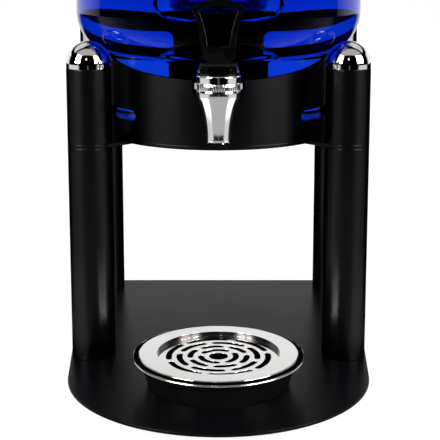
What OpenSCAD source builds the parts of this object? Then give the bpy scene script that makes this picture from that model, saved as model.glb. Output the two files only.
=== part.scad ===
// Juice dispenser: a clear tank with a lever tap and an ice tube, held by a collar on a stand of four
// tubes over a drip tray. The origin is on the table under the middle of the base, -Y is the front.

/* [Base plate] */
// Depth of the base plate, from its round front to its straight rear edge
base_depth = 363; // [350:1:380]
// Width of the base plate along its rear edge
base_rear_w = 266; // [262:1:280]
// Slant of each side of the base plate, in degrees
base_side_slant = 3.75; // [2.5:0.25:5]
// Thickness of the base plate
base_t = 2.5; // [2:0.25:4]
// Radius of the rear corners of the base plate
base_corner_r = 8; // [3:0.5:12]

/* [Rubber feet] */
// Height of the rubber feet under the base plate
foot_h = 5.5; // [5:0.25:9]
// Radius of a rubber foot
foot_r = 10; // [8:0.5:14]
// Distance of the middle of a foot from the edge of the base plate
foot_inset = 24; // [16:1:30]

/* [Legs] */
// Diameter of the front tubes
front_tube_d = 35; // [32:0.5:36]
// Diameter of the rear tubes
rear_tube_d = 38; // [34:0.5:40]
// Wall of the tubes
tube_wall = 1.5; // [1:0.1:3]
// Length of the lower tubes, from the base plate to the shelf
leg_h = 171; // [140:1:200]
// Length of the sleeves between the shelf and the chrome caps
sleeve_h = 58; // [52:0.5:60]
// Distance of the front tubes from the middle plane
front_tube_x = 100.5; // [100.5:0.5:104]
// Distance of the rear tubes from the middle plane
rear_tube_x = 110; // [107:0.5:112]
// Edge of the base plate that shows behind the rear tubes
rear_margin = 1; // [0.5:0.5:4]

/* [Tie rods] */
// Diameter of the rods that hold each stack of tubes together
rod_d = 6; // [4:0.5:8]
// Gap between a rod and the holes it passes through
rod_gap = 0.1; // [0.05:0.05:0.4]
// Width across the flats of the nuts under the base plate
nut_af = 10; // [9.5:0.5:16]
// Height of the nuts under the base plate
nut_h = 3.6; // [3:0.1:4.2]
// Depth of the rod in a dome
rod_in_dome = 10; // [6:0.5:13]

/* [Domes and posts] */
// Height of the straight edge under a chrome dome
dome_skirt = 3.5; // [2:0.5:3.5]
// Height of the chrome collars on the rear tubes
rear_collar_h = 21; // [16:0.5:24]
// Length of the black posts above the chrome collars
post_h = 84; // [80:1:110]

/* [Shelf] */
// Thickness of the shelf plate
shelf_t = 3; // [2:0.25:4]
// Direction of the arms of the shelf plate, in degrees
arm_angle = 45; // [43:1:47]
// Step between the side of an arm and the side of its tube
arm_step = 0.5; // [0.2:0.1:2]

/* [Tank collar] */
// Outer radius of the collar
ring_r = 92; // [90:0.5:93]
// Wall of the collar
ring_t = 2; // [1:0.25:2.5]
// Distance of the middle of the tank behind the front tubes
ring_behind_tubes = 70; // [70:0.5:74]
// Distance of the middle of the tank in front of the rear tubes
ring_before_posts = 117; // [117:0.5:122]
// Height of the collar at the front
ring_front_h = 50; // [47:0.5:52]
// Height of the collar at the sides and the rear
ring_h = 63; // [61.5:0.5:63.5]
// Slope of the top edge of the collar, in degrees
ring_slope = 12.1; // [10:0.1:14]
// Radius where the slope meets the level edge
ring_blend_r = 60; // [40:1:80]
// Radius of the notch for the tap
notch_r = 20; // [18:0.5:22]
// Height of the middle of the notch above the shelf
notch_z = 47; // [45:0.5:48]
// Height of the slots in the sides
slot_h = 8; // [5:0.5:12]
// Height of the lower edge of the slots above the shelf
slot_z = 15.5; // [10:0.5:24]
// Angle where the slots begin, counted from the front
slot_start = 45; // [40:1:50]
// Angle that a slot spans
slot_span = 31; // [20:1:34]
// Height of the lower edge of the rear windows above the shelf
ring_window_z = 6; // [4:0.5:12]
// Height of the rear windows
ring_window_h = 46; // [36:0.5:50]
// Angle that a rear window spans
ring_window_span = 30; // [20:1:34]
// Width of the upright strip between the rear windows, in degrees
ring_strip_span = 29; // [20:1:30]
// Radius of the window corners
window_corner = 4; // [2:0.5:5]

/* [Back guard] */
// Thickness of the back guard
guard_t = 3; // [2:0.25:4]
// Gap between the tank and the back guard
guard_gap = 2; // [1:0.25:2.5]
// Radius of the hanging curve of its rails
guard_curve_r = 200; // [180:5:300]
// Height of the lower edge above the shelf, at the middle
guard_z = 62; // [60:0.5:66]
// Height of the lower rail
guard_low_rail = 6; // [5:0.5:10]
// Height of the lower windows
guard_low_window = 10; // [9:0.5:14]
// Height of the middle rail
guard_mid_rail = 12.5; // [8:0.5:14]
// Height of the upper windows
guard_high_window = 15.5; // [12:0.5:20]
// Height of the upper rail
guard_high_rail = 32; // [20:0.5:33]
// Width of the upright strip
guard_strip_w = 44; // [30:0.5:50]
// Width of the frame at each post
guard_side_w = 8; // [6:0.5:12]

/* [Tank] */
// Outer radius of the tank
tank_r = 116.6; // [112:0.2:116.6]
// Wall of the tank
tank_wall = 3; // [2:0.25:3.5]
// Height of the tank
tank_h = 266; // [220:1:300]
// Radius of the rounded shoulder over the foot
shoulder_r = 34; // [30:0.2:35]
// Gap between the foot of the tank and the collar
foot_gap = 2; // [1:0.25:3]
// Gap between the top of the collar and the shoulder
shoulder_gap = 1; // [1:0.1:2]
// Thickness of the rubber pad under the tank
pad_t = 2; // [1:0.5:3]
// Width of the rubber pad
pad_w = 10; // [6:0.5:16]
// Width of the bead round the rim of the tank
rim_bead = 2; // [1:0.25:3]
// Height of the bead round the rim of the tank
rim_bead_h = 4; // [3:0.5:6]

/* [Lid] */
// Thickness of the lid
lid_t = 3; // [2:0.25:4]
// Rise of the lid towards the middle
lid_rise = 6; // [3:0.5:12]
// Depth of the skirt of the lid below the rim
lid_skirt = 8; // [5:0.5:12]
// Gap between the lid and the rim
lid_gap = 0.4; // [0.3:0.1:1]
// Thickness of the seal under the lid
seal_t = 1.2; // [0.8:0.1:2]

/* [Ice tube] */
// Outer radius of the ice tube
ice_tube_r = 40.5; // [36:0.5:44]
// Wall of the ice tube
ice_tube_wall = 2.5; // [1.5:0.25:3.5]
// Height of the bottom of the ice tube above the foot of the tank
ice_tube_z = 91; // [80:1:110]
// Radius of the corner at the bottom of the ice tube
ice_tube_corner = 12; // [6:0.5:20]
// Gap between the ice tube and the hole in the lid
ice_tube_gap = 0.5; // [0.3:0.1:1]
// Width of the flange of the ice tube
tube_flange_w = 7; // [5:0.5:9]
// Thickness of the flange of the ice tube
tube_flange_t = 3; // [2:0.25:4]
// Thickness of the gasket under that flange
gasket_t = 1; // [0.6:0.1:2]
// Height of the cap on the ice tube
cap_h = 12; // [9:0.5:18]
// Depth of the plug of the cap in the tube
cap_plug = 3.5; // [3:0.5:6]
// Gap between the plug and the tube
cap_gap = 0.5; // [0.3:0.1:0.8]
// Radius of the ball knob
knob_r = 14; // [10:0.5:18]
// Radius of the neck of the knob
knob_neck_r = 6; // [4:0.5:8]
// Length of the neck of the knob
knob_neck_h = 6; // [4:0.5:10]

/* [Tap] */
// Radius of the shank
shank_r = 8; // [7:0.25:8.5]
// Gap round the shank in the tank's wall
shank_gap = 0.25; // [0.1:0.05:0.5]
// Radius of the waterway through the shank
waterway_r = 5; // [3:0.25:6]
// Distance of the spout in front of the collar
spout_front = 43; // [40:0.5:48]
// Radius of the flat boss on the tank round the tap hole
boss_r = 13.5; // [13:0.25:14]
// Step of the boss outside the foot of the tank
boss_out = 3; // [2.5:0.25:3.5]
// Step of the boss inside the foot of the tank
boss_in = 2; // [1.5:0.25:3]
// Radius of the flange of the tap
tap_flange_r = 12.5; // [11:0.5:13]
// Thickness of the flange of the tap
tap_flange_t = 4; // [3:0.5:5]
// Thickness of the rubber washer outside the tank
outer_washer_t = 2.5; // [1.5:0.25:3]
// Thickness of the rubber washer inside the tank
inner_washer_t = 2; // [1:0.25:3]
// Width across the flats of the nut inside the tank
tap_nut_af = 24; // [20:0.5:26]
// Thickness of the nut inside the tank
tap_nut_t = 6; // [4:0.5:8]
// Radius of the spout at its waist
spout_r = 8.2; // [8:0.1:9]
// Height of the waist above the mouth of the spout
spout_waist_z = 9; // [6:0.5:12]
// Radius of the long flare of the spout
spout_flare_r = 60; // [50:1:70]
// Radius of the bowl of the tap
bowl_r = 15.6; // [15:0.1:16]
// Radius of the rounding under the bowl
bowl_round_r = 9; // [8:0.25:10]
// Height of the bowl's widest line above the mouth
bowl_z = 36.5; // [35:0.5:38]
// Height of the straight edge of the bowl
bowl_edge_h = 2.2; // [1.5:0.1:3]
// Height of the mouth of the spout above the shelf
spout_z = 14; // [13.5:0.25:14.5]
// Radius of the bore of the spout
spout_bore_r = 6; // [5:0.25:6.5]
// Radius of the valve chamber
chamber_r = 10; // [9:0.25:10.5]
// Height of the valve seat above the mouth
seat_z = 25; // [24:0.5:26]
// Radius of the threaded sleeve over the bowl
sleeve_r = 14.2; // [13.5:0.1:14.4]
// Height of the threaded sleeve over the bowl
sleeve_top_h = 6.3; // [5:0.1:7]

/* [Bonnet] */
// Radius of the knurled ring of the bonnet nut
knurl_r = 17.3; // [16.8:0.1:18]
// Height of the knurled ring
knurl_h = 5; // [4:0.25:6]
// Radius of the smooth collar of the bonnet nut
collar_r = 16; // [15.5:0.1:16.5]
// Height of the smooth collar
collar_h = 5.9; // [5:0.1:8]
// Thickness of the lip of the bonnet nut
nut_lip_t = 2.6; // [1.5:0.1:3]
// Radius of the hole in the lip
nut_lip_r = 11; // [10:0.25:12]
// Radius of the black cap on the bonnet
bonnet_r = 15.5; // [14.5:0.1:15.9]
// Height of the black cap on the bonnet
bonnet_h = 8.4; // [7.5:0.1:9]
// Thickness of the rim of the black cap
bonnet_rim_t = 1.5; // [1:0.1:1.6]
// Radius of the guide for the valve stem under the black cap
guide_r = 5; // [4:0.25:6]
// Length of that guide
guide_h = 4.5; // [3:0.25:5]

/* [Lever] */
// Width of the lever at its stem
lever_stem_w = 17; // [15:0.5:19]
// Gap between the stem and the cheeks of the bonnet
lever_gap = 0.4; // [0.3:0.05:0.8]
// Height of the pivot above the bonnet nut
pivot_z = 3; // [2.8:0.1:3.2]
// Radius of the round foot of the lever
lever_foot_r = 3.5; // [3:0.1:3.7]
// Diameter of the lever's pin
pin_d = 3; // [2:0.1:3.5]
// Running gap of the pin in the bonnet
pin_gap = 0.05; // [0.02:0.01:0.1]
// Gap of the pin in the lever, which grips it
lever_pin_gap = 0.01; // [0:0.01:0.02]
// Height of the wide part of the lever above the bonnet nut
lever_low_h = 10.4; // [10:0.1:12]
// Height of the lever above the bonnet nut
lever_h = 53.4; // [48:0.5:60]
// Half width of the lever at its lower end
lever_low_half = 11.4; // [10:0.1:13]
// Radius of the hollow sides of the lever
lever_side_r = 92.4; // [80:0.5:120]
// Radius of the rounded top of the lever
lever_top_r = 34.5; // [28:0.5:50]
// Width of the frame round the window of the lever
lever_frame = 4; // [3:0.25:5]
// Height of the lower edge of the window above the bonnet nut
lever_window_z = 19.4; // [16:0.5:24]
// Radius of the corners of the lever and its window
lever_corner = 2; // [1:0.25:2.5]
// Thickness of the lever at the stem
lever_low_t = 10; // [8:0.5:11]
// Thickness of the lever at the top
lever_high_t = 6; // [4:0.5:8]

/* [Valve] */
// Radius of the valve stem
valve_stem_r = 2.5; // [2:0.1:3]
// Running gap of the valve stem in the bonnet
valve_gap = 0.05; // [0.02:0.01:0.1]
// Lift of the valve when the lever is pulled
valve_lift = 3; // [2:0.25:3.5]
// Radius of the silicone seat cup
seat_cup_r = 8.6; // [8:0.1:9]
// Height of the silicone seat cup
seat_cup_h = 11; // [8:0.5:12]

/* [Drip tray] */
// Distance of the middle of the tray behind the spout
tray_behind_spout = 6; // [0:1:10]
// Height of the top of the grate above the base plate
grate_top_z = 23; // [20:0.5:28]
// Radius of the black cup at its bottom
cup_low_r = 53.5; // [50:0.5:56]
// Radius of the black cup at its top
cup_high_r = 59.2; // [58:0.2:61]
// Wall of the black cup
cup_wall = 2; // [1.5:0.25:3]
// Radius of the rim of the steel liner
liner_rim_r = 65; // [63:0.5:68]
// Thickness of the rim of the steel liner
liner_rim_t = 2.2; // [1.6:0.1:3]
// Wall of the steel liner
liner_wall = 1; // [0.8:0.1:1.5]
// Gap between the liner and the cup
liner_gap = 0.8; // [0.5:0.1:1.2]

/* [Grate] */
// Radius of the flange of the grate
grate_r = 60.4; // [58:0.2:62]
// Sheet thickness of the grate
grate_t = 1.2; // [0.8:0.1:1.6]
// Radius of the recess in the grate
recess_r = 46.4; // [44:0.2:50]
// Depth of the recess in the grate
recess_depth = 3.4; // [2:0.2:5]
// Radius of the hole in the middle of the grate
grate_hole_r = 7.2; // [5:0.2:8]
// Radial width of the arc slots
arc_slot_w = 4.6; // [3:0.2:5]
// Step between the side of a slot and its round end
slot_end_step = 0.1; // [0.05:0.05:0.3]
// Radius of the innermost ring of slots
first_ring_r = 13.3; // [12:0.1:14]
// Radial pitch of the rings of slots
arc_pitch = 8.1; // [7.8:0.1:8.2]
// Rings of slots round the hole
arc_rings = 4; // [3:1:4]
// Width of the webs between the slots
arc_web_w = 4; // [2:0.25:5]
// Turn of the first and the third ring of slots, in degrees
ring_turn_even = -76; // [-90:1:-60]
// Turn of the second and the fourth ring of slots, in degrees
ring_turn_odd = -106; // [-120:1:-90]

/* [Hidden] */
$fn = 96;
cut = 1;
left = -1;
right = 1;

black = [0.10, 0.10, 0.11];
gloss_black = [0.05, 0.05, 0.06];
rubber = [0.16, 0.16, 0.17];
chrome = [0.80, 0.81, 0.83];
steel = [0.72, 0.73, 0.75];
clear = [0.55, 0.68, 0.95, 0.45];
silicone = [0.88, 0.88, 0.86];

base_z = foot_h;
leg_z = base_z + base_t;
shelf_z = leg_z + leg_h;
ring_z = shelf_z + shelf_t;
cap_z = ring_z + sleeve_h;
post_z = cap_z + rear_collar_h;
post_top = post_z + post_h;

rear_y = base_depth / 2;
front_tube_r = front_tube_d / 2;
rear_tube_r = rear_tube_d / 2;
rear_tube_y = rear_y - rear_margin - rear_tube_r;
ring_y = rear_tube_y - ring_before_posts;
front_tube_y = ring_y - ring_behind_tubes;
rod_r = rod_d / 2;
rod_hole_r = rod_r + rod_gap;

// The front arc of the base plate touches the front edge and both slanted sides.
slant_cos = cos(base_side_slant);
slant_sin = sin(base_side_slant);
arc_y = (base_rear_w / 2 * slant_cos - rear_y * (1 + slant_sin)) / (1 - slant_sin);
arc_r = arc_y + rear_y;
corner_x = base_rear_w / 2 - base_corner_r * (slant_sin + 1) / slant_cos;
corner_y = rear_y - base_corner_r;

// The arms of the shelf plate run on to the line through its middle.
front_arm_len = front_tube_x * cos(arm_angle) + ring_behind_tubes * sin(arm_angle);
rear_arm_len = rear_tube_x * cos(arm_angle) + ring_before_posts * sin(arm_angle);

ring_in_r = ring_r - ring_t;
foot_radius = ring_in_r - foot_gap;
tank_z = ring_z + pad_t;
tank_top = tank_z + tank_h;
shoulder_z = ring_z + ring_h + shoulder_gap;
shoulder_mid_r = tank_r - shoulder_r;
shoulder_mid_z = shoulder_z + shoulder_r;

// The slope starts at the front of the collar and ends where it reaches the full height.
slope_run = (ring_h - ring_front_h) / tan(ring_slope);
blend_len = ring_blend_r * tan(ring_slope / 2);

guard_y = ring_y + tank_r + guard_gap + guard_t / 2;
guard_bottom = ring_z + guard_z;
low_window_z = guard_bottom + guard_low_rail;
mid_rail_z = low_window_z + guard_low_window;
high_window_z = mid_rail_z + guard_mid_rail;
high_rail_z = high_window_z + guard_high_window;
guard_top = high_rail_z + guard_high_rail;
guard_half_w = rear_tube_x - rear_tube_r - guard_side_w;

lid_z = tank_top + seal_t;
lid_hole_r = ice_tube_r + ice_tube_gap;
lid_r = tank_r + rim_bead + lid_gap + lid_t;
lid_top = lid_z + lid_t + lid_rise;
tube_bottom = tank_z + ice_tube_z;
tube_top = lid_top + gasket_t + tube_flange_t;
tube_flange_r = ice_tube_r + tube_flange_w;
tube_in_r = ice_tube_r - ice_tube_wall;
cap_top = tube_top + cap_h;

tap_y = ring_y - ring_r - spout_front;
mouth_z = shelf_z + spout_z;
bowl_top = mouth_z + bowl_z + bowl_edge_h;
tap_z = bowl_top - shank_r - 0.2;
boss_face_y = ring_y - foot_radius - boss_out;
boss_back_y = ring_y - foot_radius + tank_wall + boss_in;
flange_y = boss_face_y - outer_washer_t;
shank_end_y = boss_back_y + inner_washer_t + tap_nut_t + 3;
knurl_top = bowl_top + knurl_h;
nut_top = knurl_top + collar_h;
nut_in_r = sleeve_r + 0.1;
cap_flange_top = nut_top - nut_lip_t;
cap_flange_z = bowl_top + sleeve_top_h;
cap_flange_r = nut_in_r - 0.2;
pivot_height = nut_top + pivot_z;
pin_r = pin_d / 2;
pin_len = 2 * sqrt(bonnet_r * bonnet_r - pivot_z * pivot_z) - 4;
lever_top = nut_top + lever_h;
lever_low_z = nut_top + lever_low_h;
hub_r = lever_low_h - pivot_z - lever_gap;
pocket_z = pivot_height - lever_foot_r - 0.5;
slot_w = lever_stem_w + 2 * lever_gap;
seat_face_z = mouth_z + seat_z;
valve_top = pivot_height - lever_foot_r - valve_lift - 0.3;

tray_y = tap_y + tray_behind_spout;
grate_top = leg_z + grate_top_z;
liner_top = grate_top - grate_t;
cup_top = liner_top - liner_rim_t;
cup_h = cup_top - leg_z;
cup_slope = (cup_high_r - cup_low_r) / cup_h;
liner_floor_z = leg_z + cup_wall + liner_gap;
liner_high_r = cup_high_r - cup_wall - liner_gap;
liner_low_r = liner_high_r - cup_slope * (cup_top - liner_floor_z);

module tube(r, wall, h) {
    difference() {
        cylinder(r = r, h = h);
        translate([0, 0, -cut]) cylinder(r = r - wall, h = h + 2 * cut);
    }
}

module at_front(side, z) {
    translate([side * front_tube_x, front_tube_y, z]) children();
}

module at_rear(side, z) {
    translate([side * rear_tube_x, rear_tube_y, z]) children();
}

module at_all_tubes(z) {
    for (side = [left, right]) {
        at_front(side, z) children();
        at_rear(side, z) children();
    }
}

module both_sides() {
    children();
    mirror([1, 0, 0]) children();
}

// What lies outside a round corner of radius r. Its ends point from the middle m along a and b.
module corner_waste(m, r, a, b) {
    far = r + cut;
    difference() {
        polygon([m, m + far * a, m + far * (a + b) / (1 + a * b), m + far * b]);
        translate(m) circle(r = r);
    }
}

// A rectangle with round corners, centred.
module round_rect(w, h, corner) {
    square([w - 2 * corner, h], center = true);
    if (h > 2 * corner) square([w, h - 2 * corner], center = true);
    for (x = [corner - w / 2, w / 2 - corner], y = h > 2 * corner ? [corner - h / 2, h / 2 - corner] : [0])
        translate([x, y]) circle(r = corner, $fn = 48);
}

// Cuts a window with round corners through one side of a tube of radius r, from a height z up. The
// angle of its middle is counted from the front.
module side_window(r, angle, span, z, h, corner) {
    rotate([0, 0, angle - 90]) translate([r * cos(span / 2) / 2, 0, z + h / 2]) rotate([90, 0, 90])
        linear_extrude(r) round_rect(2 * r * sin(span / 2), h, corner);
}

module base_outline() {
    translate([0, arc_y]) circle(r = arc_r, $fn = 180);
    for (side = [left, right]) translate([side * corner_x, corner_y]) circle(r = base_corner_r);
    polygon([
        [arc_r * slant_cos, arc_y - arc_r * slant_sin],
        [corner_x + base_corner_r * slant_cos, corner_y - base_corner_r * slant_sin],
        [corner_x, rear_y],
        [-corner_x, rear_y],
        [-corner_x - base_corner_r * slant_cos, corner_y - base_corner_r * slant_sin],
        [-arc_r * slant_cos, arc_y - arc_r * slant_sin]
    ]);
}

module base_plate() {
    color(black) difference() {
        translate([0, 0, base_z]) linear_extrude(base_t) base_outline();
        at_all_tubes(base_z - cut) cylinder(r = rod_hole_r, h = base_t + 2 * cut, $fn = 48);
    }
}

// Four feet follow the round front and two stand near the rear edge, between the tubes.
module base_feet() {
    color(rubber) {
        for (a = [-62, -24, 24, 62]) translate([0, arc_y]) rotate([0, 0, a]) translate([0, foot_inset - arc_r])
            cylinder(r = foot_r, h = foot_h, $fn = 48);
        for (side = [left, right]) translate([side * rear_tube_x * 0.7, rear_y - foot_inset])
            cylinder(r = foot_r, h = foot_h, $fn = 48);
    }
}

module base_nuts() {
    color(steel) at_all_tubes(base_z - nut_h) difference() {
        cylinder(d = nut_af / cos(30), h = nut_h, $fn = 6);
        translate([0, 0, -cut]) cylinder(r = rod_hole_r, h = nut_h + 2 * cut, $fn = 48);
    }
}

module front_left_leg() { color(black) at_front(left, leg_z) tube(front_tube_r, tube_wall, leg_h); }
module front_right_leg() { color(black) at_front(right, leg_z) tube(front_tube_r, tube_wall, leg_h); }
module rear_left_leg() { color(black) at_rear(left, leg_z) tube(rear_tube_r, tube_wall, leg_h); }
module rear_right_leg() { color(black) at_rear(right, leg_z) tube(rear_tube_r, tube_wall, leg_h); }

// Each rod starts in its nut under the base plate and ends in the dome on top of its stack.
module tie_rods() {
    rod_z = base_z - nut_h;
    color(steel) for (side = [left, right]) {
        at_front(side, rod_z) cylinder(r = rod_r, h = cap_z + rod_in_dome - rod_z, $fn = 48);
        at_rear(side, rod_z) cylinder(r = rod_r, h = post_top + rod_in_dome - rod_z, $fn = 48);
    }
}

module shelf_arm(tube_d, len) {
    translate([arm_step - tube_d / 2, 0]) square([tube_d - 2 * arm_step, len]);
}

// A round plate under the tank with four arms, whose round ends lie between the tubes.
module shelf_plate() {
    color(black) difference() {
        translate([0, 0, shelf_z]) linear_extrude(shelf_t) {
            translate([0, ring_y]) circle(r = ring_r, $fn = 180);
            for (side = [left, right]) {
                translate([side * front_tube_x, front_tube_y]) {
                    circle(d = front_tube_d);
                    rotate(side * (90 - arm_angle)) shelf_arm(front_tube_d, front_arm_len);
                }
                translate([side * rear_tube_x, rear_tube_y]) {
                    circle(d = rear_tube_d);
                    rotate(side * (90 + arm_angle)) shelf_arm(rear_tube_d, rear_arm_len);
                }
            }
        }
        at_all_tubes(shelf_z - cut) cylinder(r = rod_hole_r, h = shelf_t + 2 * cut, $fn = 48);
    }
}

module front_left_sleeve() { color(black) at_front(left, ring_z) tube(front_tube_r, tube_wall, sleeve_h); }
module front_right_sleeve() { color(black) at_front(right, ring_z) tube(front_tube_r, tube_wall, sleeve_h); }
module rear_left_sleeve() { color(black) at_rear(left, ring_z) tube(rear_tube_r, tube_wall, sleeve_h); }
module rear_right_sleeve() { color(black) at_rear(right, ring_z) tube(rear_tube_r, tube_wall, sleeve_h); }

module dome(r) {
    color(chrome) difference() {
        rotate_extrude() {
            square([r, dome_skirt]);
            intersection() {
                translate([0, dome_skirt]) circle(r = r);
                translate([0, dome_skirt]) square(r);
            }
        }
        translate([0, 0, -cut]) cylinder(r = rod_hole_r, h = rod_in_dome + cut, $fn = 48);
    }
}

module front_left_dome() { at_front(left, cap_z) dome(front_tube_r); }
module front_right_dome() { at_front(right, cap_z) dome(front_tube_r); }
module rear_left_dome() { at_rear(left, post_top) dome(rear_tube_r); }
module rear_right_dome() { at_rear(right, post_top) dome(rear_tube_r); }

module rear_collar(side) {
    color(chrome) at_rear(side, cap_z) difference() {
        cylinder(r = rear_tube_r, h = rear_collar_h);
        translate([0, 0, -cut]) cylinder(r = rod_hole_r, h = rear_collar_h + 2 * cut, $fn = 48);
    }
}

module rear_left_collar() { rear_collar(left); }
module rear_right_collar() { rear_collar(right); }
module rear_left_post() { color(black) at_rear(left, post_z) tube(rear_tube_r, tube_wall, post_h); }
module rear_right_post() { color(black) at_rear(right, post_z) tube(rear_tube_r, tube_wall, post_h); }

// Side view of the collar: the top edge slopes up from the front and rounds into a level edge.
module collar_side_view() {
    bend = -ring_r + slope_run;
    difference() {
        polygon([
            [-ring_r - cut, 0],
            [-ring_r - cut, ring_front_h - cut * tan(ring_slope)],
            [bend, ring_h],
            [ring_r + cut, ring_h],
            [ring_r + cut, 0]
        ]);
        corner_waste([bend + blend_len, ring_h - ring_blend_r], ring_blend_r, [0, 1],
            [-sin(ring_slope), cos(ring_slope)]);
    }
}

module tank_collar() {
    color(black) translate([0, ring_y, ring_z]) difference() {
        intersection() {
            tube(ring_r, ring_t, ring_h, $fn = 180);
            rotate([90, 0, 90]) translate([0, 0, -ring_r - cut]) linear_extrude(2 * (ring_r + cut))
                collar_side_view();
        }
        translate([0, 0, notch_z]) rotate([90, 0, 0]) cylinder(r = notch_r, h = ring_r + cut);
        translate([-notch_r, -ring_r - cut, notch_z]) cube([2 * notch_r, ring_r / 2, ring_h]);
        both_sides() {
            side_window(ring_r, slot_start + slot_span / 2, slot_span, slot_z, slot_h, slot_h / 2);
            side_window(ring_r, 180 - (ring_strip_span + ring_window_span) / 2, ring_window_span,
                ring_window_z, ring_window_h, window_corner);
        }
    }
}

module tank_pad() {
    color(rubber) translate([0, ring_y, ring_z]) tube(foot_radius - 2, pad_w, pad_t);
}

// The band between two equal hanging curves, the lower one at height z over the middle.
module hanging_band(z, h) {
    difference() {
        translate([0, z + guard_curve_r]) circle(r = guard_curve_r, $fn = 180);
        translate([0, z + h + guard_curve_r]) circle(r = guard_curve_r, $fn = 180);
    }
}

module guard_window(z, h) {
    low_mid = [0, z + guard_curve_r];
    high_mid = [0, z + h + guard_curve_r];
    difference() {
        intersection() {
            hanging_band(z, h);
            translate([guard_strip_w / 2, z]) square([guard_half_w - guard_strip_w / 2, guard_curve_r]);
        }
        for (end = [[guard_strip_w / 2 + window_corner, [-1, 0]], [guard_half_w - window_corner, [1, 0]]]) {
            low = [end[0], low_mid[1] - sqrt(pow(guard_curve_r - window_corner, 2) - end[0] * end[0])];
            high = [end[0], high_mid[1] - sqrt(pow(guard_curve_r + window_corner, 2) - end[0] * end[0])];
            corner_waste(low, window_corner, end[1], (low - low_mid) / norm(low - low_mid));
            corner_waste(high, window_corner, end[1], (high_mid - high) / norm(high_mid - high));
        }
    }
}

// A plate between the rear posts with four windows. Its rails hang like the rim of a bowl.
module back_guard() {
    color(black) difference() {
        translate([0, guard_y + guard_t / 2]) rotate([90, 0, 0]) linear_extrude(guard_t) difference() {
            intersection() {
                hanging_band(guard_bottom, guard_top - guard_bottom);
                translate([-rear_tube_x, guard_bottom]) square([2 * rear_tube_x, guard_curve_r]);
            }
            both_sides() {
                guard_window(low_window_z, guard_low_window);
                guard_window(high_window_z, guard_high_window);
            }
        }
        for (side = [left, right]) at_rear(side, guard_bottom - cut)
            cylinder(r = rear_tube_r, h = guard_curve_r);
    }
}

// Half section of the tank, drawn in by the wall for the inside.
module tank_section(in) {
    floor_z = tank_z + in;
    square_top = tank_top + (in > 0 ? cut : 0);
    translate([0, floor_z]) square([foot_radius - in, shoulder_mid_z - floor_z]);
    translate([0, shoulder_mid_z]) square([tank_r - in, square_top - shoulder_mid_z]);
    translate([0, shoulder_z + in]) square([shoulder_mid_r, shoulder_r - in]);
    intersection() {
        translate([shoulder_mid_r, shoulder_mid_z]) circle(r = shoulder_r - in);
        translate([shoulder_mid_r, shoulder_z]) square([shoulder_r, shoulder_r]);
    }
}

module tank() {
    color(clear) difference() {
        union() {
            translate([0, ring_y, 0]) rotate_extrude($fn = 180) difference() {
                union() {
                    tank_section(0);
                    translate([0, tank_top - rim_bead_h]) square([tank_r + rim_bead, rim_bead_h]);
                }
                tank_section(tank_wall);
            }
            translate([0, boss_back_y, tap_z]) rotate([90, 0, 0])
                cylinder(r = boss_r, h = boss_back_y - boss_face_y);
        }
        translate([0, boss_back_y + cut, tap_z]) rotate([90, 0, 0])
            cylinder(r = shank_r + shank_gap, h = boss_back_y - boss_face_y + 2 * cut, $fn = 48);
    }
}

module washer(y, t, r) {
    translate([0, y + t, tap_z]) rotate([90, 0, 0]) difference() {
        cylinder(r = r, h = t);
        translate([0, 0, -cut]) cylinder(r = shank_r + shank_gap, h = t + 2 * cut, $fn = 48);
    }
}

module outer_washer() { color(rubber) washer(flange_y, outer_washer_t, tap_flange_r - 0.5); }
module inner_washer() { color(rubber) washer(boss_back_y, inner_washer_t, tap_flange_r - 0.5); }

module tap_nut() {
    color(chrome) translate([0, boss_back_y + inner_washer_t + tap_nut_t, tap_z]) rotate([90, 0, 0])
        difference() {
            rotate(30) cylinder(d = tap_nut_af / cos(30), h = tap_nut_t, $fn = 6);
            translate([0, 0, -cut]) cylinder(r = shank_r + 0.05, h = tap_nut_t + 2 * cut, $fn = 48);
        }
}

// Half section of the tap below the bonnet: a waisted spout that flares into a bowl.
module tap_section() {
    flare_top = mouth_z + bowl_z - bowl_round_r * 0.8;
    difference() {
        translate([0, mouth_z]) square([bowl_r, flare_top - mouth_z]);
        translate([spout_r + spout_flare_r, mouth_z + spout_waist_z]) circle(r = spout_flare_r, $fn = 360);
    }
    intersection() {
        translate([bowl_r - bowl_round_r, mouth_z + bowl_z]) circle(r = bowl_round_r);
        translate([0, mouth_z]) square([bowl_r, bowl_z]);
    }
    translate([0, mouth_z + bowl_z - bowl_round_r]) square([bowl_r - bowl_round_r, bowl_round_r]);
    translate([0, mouth_z + bowl_z]) square([bowl_r, bowl_edge_h]);
    translate([0, bowl_top]) square([sleeve_r, sleeve_top_h]);
}

module tap_body() {
    color(chrome) difference() {
        union() {
            translate([0, tap_y, 0]) rotate_extrude() tap_section();
            translate([0, shank_end_y, tap_z]) rotate([90, 0, 0]) cylinder(r = shank_r, h = shank_end_y - tap_y);
            translate([0, flange_y, tap_z]) rotate([90, 0, 0]) cylinder(r = tap_flange_r, h = tap_flange_t);
        }
        translate([0, tap_y, mouth_z - cut]) cylinder(r = spout_bore_r, h = bowl_z, $fn = 48);
        translate([0, tap_y, seat_face_z]) cylinder(r = chamber_r, h = bowl_top + sleeve_top_h);
        translate([0, shank_end_y + cut, tap_z]) rotate([90, 0, 0])
            cylinder(r = waterway_r, h = shank_end_y + cut - tap_y, $fn = 48);
    }
}

module bonnet_nut() {
    color(chrome) translate([0, tap_y, bowl_top]) difference() {
        union() {
            cylinder(r = knurl_r, h = knurl_h);
            cylinder(r = collar_r, h = knurl_h + collar_h);
        }
        translate([0, 0, -cut]) cylinder(r = nut_in_r, h = cap_flange_top - bowl_top + cut);
        cylinder(r = nut_lip_r, h = knurl_h + collar_h + cut);
    }
}

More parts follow.
